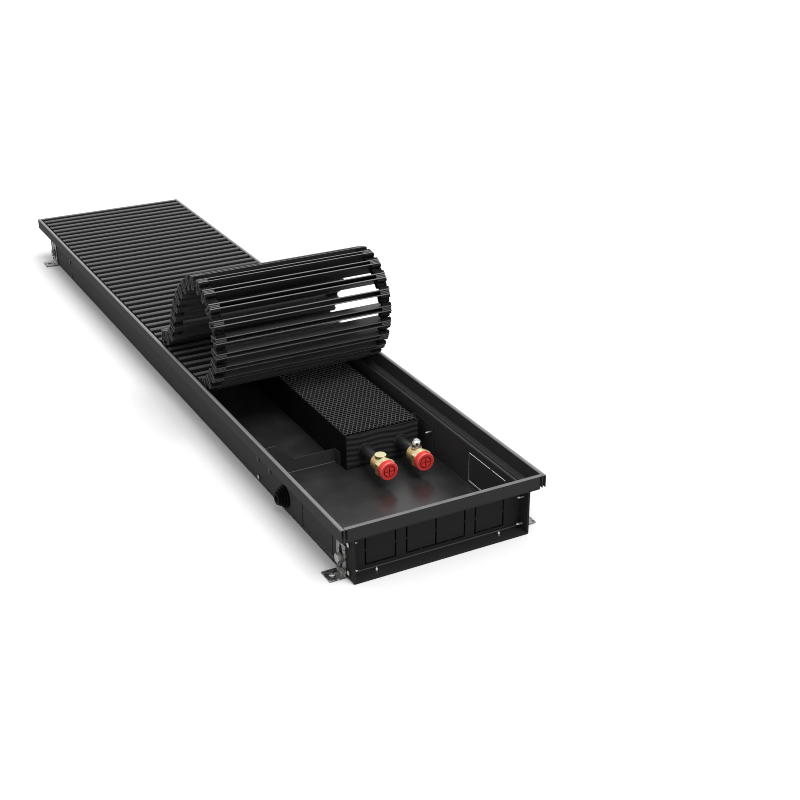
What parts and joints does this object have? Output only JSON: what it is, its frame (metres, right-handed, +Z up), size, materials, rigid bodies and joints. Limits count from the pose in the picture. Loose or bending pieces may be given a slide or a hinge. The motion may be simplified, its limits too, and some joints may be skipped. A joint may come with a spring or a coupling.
{
  "type": "trench convector heater",
  "caption": "Long in-floor convector trough with a finned water heat exchanger, capped brass valves and a linked slatted grille rolled back at one end.",
  "frame": {"origin": "middle of the trough's underside, on the surface it stands on", "axes": "+X along the trough towards the connection end, +Y across it to the exchanger's side, +Z up"},
  "size_m": [1.2, 0.264, 0.2158],
  "materials": {
    "housing": "satin black powder coat",
    "slats": "black anodised",
    "links": "matt dark grey",
    "pins": "bright",
    "fins": "black painted, satin",
    "tubes": "black painted, satin",
    "fasteners": "zinc plated",
    "brackets": "galvanised",
    "brass": "turned, bright",
    "caps": "semi-gloss red",
    "vent": "polished",
    "rubber": "matt black"
  },
  "bodies": {
    "trough": {"trough_pan": "housing", "near_end_panel": "housing", "far_end_panel": "housing", "panel_screws": "fasteners", "damping_strips": "rubber", "fin_pack": "fins", "near_tube_plate": "housing", "far_tube_plate": "housing", "left_side_plate": "housing", "right_side_plate": "housing", "supply_tube": "tubes", "return_tube": "tubes", "return_bend": "tubes", "near_left_support": "housing", "near_right_support": "housing", "far_left_support": "housing", "far_right_support": "housing", "support_screws": "fasteners", "supply_valve": "brass", "return_valve": "brass", "drain_plug": "brass", "cable_grommet": "rubber", "clamp_bolts": "fasteners", "clamp_washers": "fasteners", "clamp_nuts": "fasteners"},
    "grille": {"flat_slats": "slats", "flat_links": "links", "flat_pins": "pins"},
    "roll_01": {"roll_slat_01": "slats"},
    "roll_02": {"roll_slat_02": "slats"},
    "roll_03": {"roll_slat_03": "slats"},
    "roll_04": {"roll_slat_04": "slats"},
    "roll_05": {"roll_slat_05": "slats"},
    "roll_06": {"roll_slat_06": "slats"},
    "roll_07": {"roll_slat_07": "slats"},
    "roll_08": {"roll_slat_08": "slats"},
    "roll_09": {"roll_slat_09": "slats"},
    "roll_10": {"roll_slat_10": "slats"},
    "roll_11": {"roll_slat_11": "slats"},
    "roll_12": {"roll_slat_12": "slats"},
    "roll_13": {"roll_slat_13": "slats"},
    "roll_14": {"roll_slat_14": "slats"},
    "roll_15": {"roll_slat_15": "slats"},
    "roll_16": {"roll_slat_16": "slats"},
    "roll_17": {"roll_slat_17": "slats"},
    "roll_18": {"roll_slat_18": "slats"},
    "roll_19": {"roll_slat_19": "slats"},
    "roll_20": {"roll_slat_20": "slats"},
    "roll_21": {"roll_slat_21": "slats"},
    "roll_22": {"roll_slat_22": "slats"},
    "near_left_foot": {"near_left_foot": "brackets"},
    "near_right_foot": {"near_right_foot": "brackets"},
    "far_left_foot": {"far_left_foot": "brackets"},
    "far_right_foot": {"far_right_foot": "brackets"},
    "supply_cap": {"supply_cap": "caps"},
    "return_cap": {"return_cap": "caps"},
    "air_vent": {"air_vent": "vent"}
  },
  "joints": [
    {"name": "grille_lift", "type": "slide", "parent": "trough", "child": "grille", "axis": [0, 0, 1], "range_m": [0, 0.05]},
    {"name": "roll_joint_01", "type": "hinge", "parent": "grille", "child": "roll_01", "pos_m": [0.16405, 0, 0.066], "axis": [0, 1, 0], "range_deg": [0, 13.26]},
    {"name": "roll_joint_02", "type": "hinge", "parent": "roll_01", "child": "roll_02", "pos_m": [0.18284, 0, 0.07043], "axis": [0, 1, 0], "range_deg": [0, 13.26]},
    {"name": "roll_joint_03", "type": "hinge", "parent": "roll_02", "child": "roll_03", "pos_m": [0.2001, 0, 0.07904], "axis": [0, 1, 0], "range_deg": [0, 13.26]},
    {"name": "roll_joint_04", "type": "hinge", "parent": "roll_03", "child": "roll_04", "pos_m": [0.21494, 0, 0.09139], "axis": [0, 1, 0], "range_deg": [0, 13.26]},
    {"name": "roll_joint_05", "type": "hinge", "parent": "roll_04", "child": "roll_05", "pos_m": [0.22654, 0, 0.10682], "axis": [0, 1, 0], "range_deg": [0, 13.26]},
    {"name": "roll_joint_06", "type": "hinge", "parent": "roll_05", "child": "roll_06", "pos_m": [0.2343, 0, 0.12449], "axis": [0, 1, 0], "range_deg": [0, 13.26]},
    {"name": "roll_joint_07", "type": "hinge", "parent": "roll_06", "child": "roll_07", "pos_m": [0.2378, 0, 0.14347], "axis": [0, 1, 0], "range_deg": [0, 13.26]},
    {"name": "roll_joint_08", "type": "hinge", "parent": "roll_07", "child": "roll_08", "pos_m": [0.23685, 0, 0.16274], "axis": [0, 1, 0], "range_deg": [0, 19.3]},
    {"name": "roll_joint_09", "type": "hinge", "parent": "roll_08", "child": "roll_09", "pos_m": [0.22958, 0, 0.18062], "axis": [0, 1, 0], "range_deg": [0, 19.3]},
    {"name": "roll_joint_10", "type": "hinge", "parent": "roll_09", "child": "roll_10", "pos_m": [0.21681, 0, 0.1951], "axis": [0, 1, 0], "range_deg": [0, 19.3]},
    {"name": "roll_joint_11", "type": "hinge", "parent": "roll_10", "child": "roll_11", "pos_m": [0.19998, 0, 0.20454], "axis": [0, 1, 0], "range_deg": [0, 19.3]},
    {"name": "roll_joint_12", "type": "hinge", "parent": "roll_11", "child": "roll_12", "pos_m": [0.18097, 0, 0.20788], "axis": [0, 1, 0], "range_deg": [0, 19.3]},
    {"name": "roll_joint_13", "type": "hinge", "parent": "roll_12", "child": "roll_13", "pos_m": [0.16192, 0, 0.20476], "axis": [0, 1, 0], "range_deg": [0, 19.3]},
    {"name": "roll_joint_14", "type": "hinge", "parent": "roll_13", "child": "roll_14", "pos_m": [0.14498, 0, 0.19551], "axis": [0, 1, 0], "range_deg": [0, 6.76]},
    {"name": "roll_joint_15", "type": "hinge", "parent": "roll_14", "child": "roll_15", "pos_m": [0.12925, 0, 0.18434], "axis": [0, 1, 0], "range_deg": [0, 6.76]},
    {"name": "roll_joint_16", "type": "hinge", "parent": "roll_15", "child": "roll_16", "pos_m": [0.11493, 0, 0.17139], "axis": [0, 1, 0], "range_deg": [0, 6.76]},
    {"name": "roll_joint_17", "type": "hinge", "parent": "roll_16", "child": "roll_17", "pos_m": [0.10224, 0, 0.15685], "axis": [0, 1, 0], "range_deg": [0, 6.76]},
    {"name": "roll_joint_18", "type": "hinge", "parent": "roll_17", "child": "roll_18", "pos_m": [0.09135, 0, 0.14091], "axis": [0, 1, 0], "range_deg": [0, 6.76]},
    {"name": "roll_joint_19", "type": "hinge", "parent": "roll_18", "child": "roll_19", "pos_m": [0.08242, 0, 0.12381], "axis": [0, 1, 0], "range_deg": [0, 6.76]},
    {"name": "roll_joint_20", "type": "hinge", "parent": "roll_19", "child": "roll_20", "pos_m": [0.07555, 0, 0.10577], "axis": [0, 1, 0], "range_deg": [-23.06, 0]},
    {"name": "roll_joint_21", "type": "hinge", "parent": "roll_20", "child": "roll_21", "pos_m": [0.06217, 0, 0.09186], "axis": [0, 1, 0], "range_deg": [-23.06, 0]},
    {"name": "roll_joint_22", "type": "hinge", "parent": "roll_21", "child": "roll_22", "pos_m": [0.04441, 0, 0.0843], "axis": [0, 1, 0], "range_deg": [-23.06, 0]},
    {"name": "near_left_height", "type": "slide", "parent": "trough", "child": "near_left_foot", "axis": [0, 0, -1], "range_m": [0, 0.012]},
    {"name": "near_right_height", "type": "slide", "parent": "trough", "child": "near_right_foot", "axis": [0, 0, -1], "range_m": [0, 0.012]},
    {"name": "far_left_height", "type": "slide", "parent": "trough", "child": "far_left_foot", "axis": [0, 0, -1], "range_m": [0, 0.012]},
    {"name": "far_right_height", "type": "slide", "parent": "trough", "child": "far_right_foot", "axis": [0, 0, -1], "range_m": [0, 0.012]},
    {"name": "supply_cap_pull", "type": "slide", "parent": "trough", "child": "supply_cap", "axis": [1, 0, 0], "range_m": [0, 0.03]},
    {"name": "return_cap_pull", "type": "slide", "parent": "trough", "child": "return_cap", "axis": [1, 0, 0], "range_m": [0, 0.03]},
    {"name": "air_vent_turn", "type": "hinge", "parent": "trough", "child": "air_vent", "pos_m": [0.4046, 0.071, 0.035], "axis": [0, 0, 1], "range_deg": [0, 180]}
  ],
  "couplings": [
    {"joint": "roll_joint_01", "follows": "roll_joint_22", "ratio": -0.57512},
    {"joint": "roll_joint_02", "follows": "roll_joint_22", "ratio": -0.57512},
    {"joint": "roll_joint_03", "follows": "roll_joint_22", "ratio": -0.57512},
    {"joint": "roll_joint_04", "follows": "roll_joint_22", "ratio": -0.57512},
    {"joint": "roll_joint_05", "follows": "roll_joint_22", "ratio": -0.57512},
    {"joint": "roll_joint_06", "follows": "roll_joint_22", "ratio": -0.57512},
    {"joint": "roll_joint_07", "follows": "roll_joint_22", "ratio": -0.57512},
    {"joint": "roll_joint_08", "follows": "roll_joint_22", "ratio": -0.8371},
    {"joint": "roll_joint_09", "follows": "roll_joint_22", "ratio": -0.8371},
    {"joint": "roll_joint_10", "follows": "roll_joint_22", "ratio": -0.8371},
    {"joint": "roll_joint_11", "follows": "roll_joint_22", "ratio": -0.8371},
    {"joint": "roll_joint_12", "follows": "roll_joint_22", "ratio": -0.8371},
    {"joint": "roll_joint_13", "follows": "roll_joint_22", "ratio": -0.8371},
    {"joint": "roll_joint_14", "follows": "roll_joint_22", "ratio": -0.29311},
    {"joint": "roll_joint_15", "follows": "roll_joint_22", "ratio": -0.29311},
    {"joint": "roll_joint_16", "follows": "roll_joint_22", "ratio": -0.29311},
    {"joint": "roll_joint_17", "follows": "roll_joint_22", "ratio": -0.29311},
    {"joint": "roll_joint_18", "follows": "roll_joint_22", "ratio": -0.29311},
    {"joint": "roll_joint_19", "follows": "roll_joint_22", "ratio": -0.29311},
    {"joint": "roll_joint_20", "follows": "roll_joint_22", "ratio": 1},
    {"joint": "roll_joint_21", "follows": "roll_joint_22", "ratio": 1}
  ]
}
